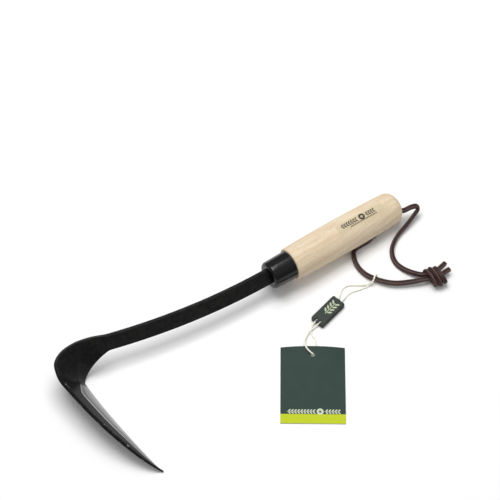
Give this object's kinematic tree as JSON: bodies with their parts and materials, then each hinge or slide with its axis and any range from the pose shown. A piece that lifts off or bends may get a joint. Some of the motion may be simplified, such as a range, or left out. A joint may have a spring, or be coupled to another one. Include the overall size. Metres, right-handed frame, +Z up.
{
  "type": "hand sickle",
  "caption": "Short weeding sickle: lacquered flat bar twisted into a broad ground blade, turned wooden handle with a cup ferrule, leather wrist thong and a tied-on swing tag.",
  "frame": {"origin": "on the ground under the middle of the tool's own footprint (thong, string, seal and tag left out)", "axes": "+X along the handle towards the butt, +Z up; the blade's tip points towards -Y"},
  "size_m": [0.359, 0.1803, 0.0363],
  "materials": {
    "lacquered_steel": "black lacquer over forged steel, with a bare ground bevel",
    "bright_steel": "plain drawn wire",
    "lacquered_ferrule": "gloss black enamel",
    "pale_wood": "pale close-grained hardwood, fine sanded",
    "label_film": "thin matt film",
    "brown_leather": "dark brown waxed lace",
    "cream_string": "twisted cotton",
    "green_plastic": "satin moulded plastic",
    "green_card": "printed paperboard"
  },
  "bodies": {
    "tool": {"blade_forging": "lacquered_steel", "tang_pin": "bright_steel", "ferrule": "lacquered_ferrule", "handle": "pale_wood", "handle_label": "label_film", "thong_in_handle": "brown_leather", "thong_front_leg": "brown_leather", "thong_back_leg": "brown_leather", "thong_knot": "brown_leather", "thong_tail_a": "brown_leather", "thong_tail_b": "brown_leather"},
    "tag_string": {"tag_string_upper": "cream_string", "seal_block": "green_plastic", "tag_string_lower": "cream_string"},
    "tag_card": {"swing_tag": "green_card"}
  },
  "joints": [
    {"name": "string_swing", "type": "hinge", "parent": "tool", "child": "tag_string", "pos_m": [0.11283, -0.0171, 0.0038], "axis": [0, 0, 1], "range_deg": [-6, 6]},
    {"name": "tag_swivel", "type": "hinge", "parent": "tag_string", "child": "tag_card", "pos_m": [0.02483, -0.0468, 0.003], "axis": [0, 0, 1], "range_deg": [-20, 20]}
  ]
}
